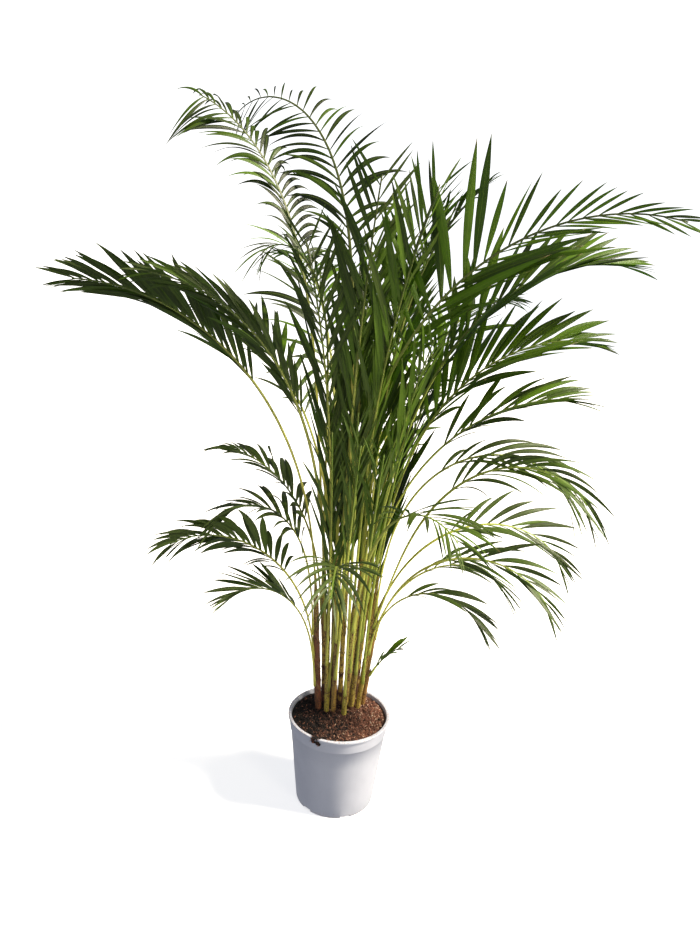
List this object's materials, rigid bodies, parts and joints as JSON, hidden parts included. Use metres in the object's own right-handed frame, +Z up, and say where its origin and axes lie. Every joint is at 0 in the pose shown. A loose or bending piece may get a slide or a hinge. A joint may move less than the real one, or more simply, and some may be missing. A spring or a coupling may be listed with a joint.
{
  "type": "potted palm",
  "caption": "Areca palm with slender ringed canes and arching feathery fronds, growing in dark soil in a plain round pale nursery pot.",
  "frame": {"origin": "middle of the pot's base, on the ground", "axes": "+Z up, +X to the right and +Y away from a viewer at the picture's side"},
  "size_m": [1.1361, 0.969, 1.4221],
  "materials": {
    "pot": "moulded pale grey-white polypropylene, satin",
    "soil": "dark crumbly peat and coir potting soil",
    "cane": "golden cane with ring scars, brown at the foot, green above",
    "frond": "glossy green leaf with a paler yellow-green rachis"
  },
  "bodies": {
    "root": {"pot": "pot", "soil": "soil", "cane_1": "cane", "cane_2": "cane", "cane_3": "cane", "cane_4": "cane", "cane_5": "cane", "cane_6": "cane", "cane_7": "cane", "cane_8": "cane", "cane_9": "cane", "cane_10": "cane", "cane_11": "cane", "cane_12": "cane", "frond_1a": "frond", "frond_1b": "frond", "frond_1c": "frond", "frond_1d": "frond", "frond_2a": "frond", "frond_2b": "frond", "frond_2c": "frond", "frond_3a": "frond", "frond_3b": "frond", "frond_3c": "frond", "frond_3d": "frond", "frond_4a": "frond", "frond_4b": "frond", "frond_4c": "frond", "frond_4d": "frond", "frond_5a": "frond", "frond_5b": "frond", "frond_6a": "frond", "frond_6b": "frond", "frond_6c": "frond", "frond_6d": "frond", "frond_7a": "frond", "frond_7b": "frond", "frond_7c": "frond", "frond_7d": "frond", "frond_8a": "frond", "frond_8b": "frond", "frond_8c": "frond", "frond_9a": "frond", "frond_9b": "frond", "frond_9c": "frond", "frond_9d": "frond", "frond_9e": "frond", "frond_10a": "frond", "frond_10b": "frond", "frond_10c": "frond", "frond_10d": "frond", "frond_11a": "frond", "frond_11b": "frond", "frond_11c": "frond", "frond_12a": "frond", "frond_12b": "frond", "frond_12c": "frond"}
  },
  "joints": []
}
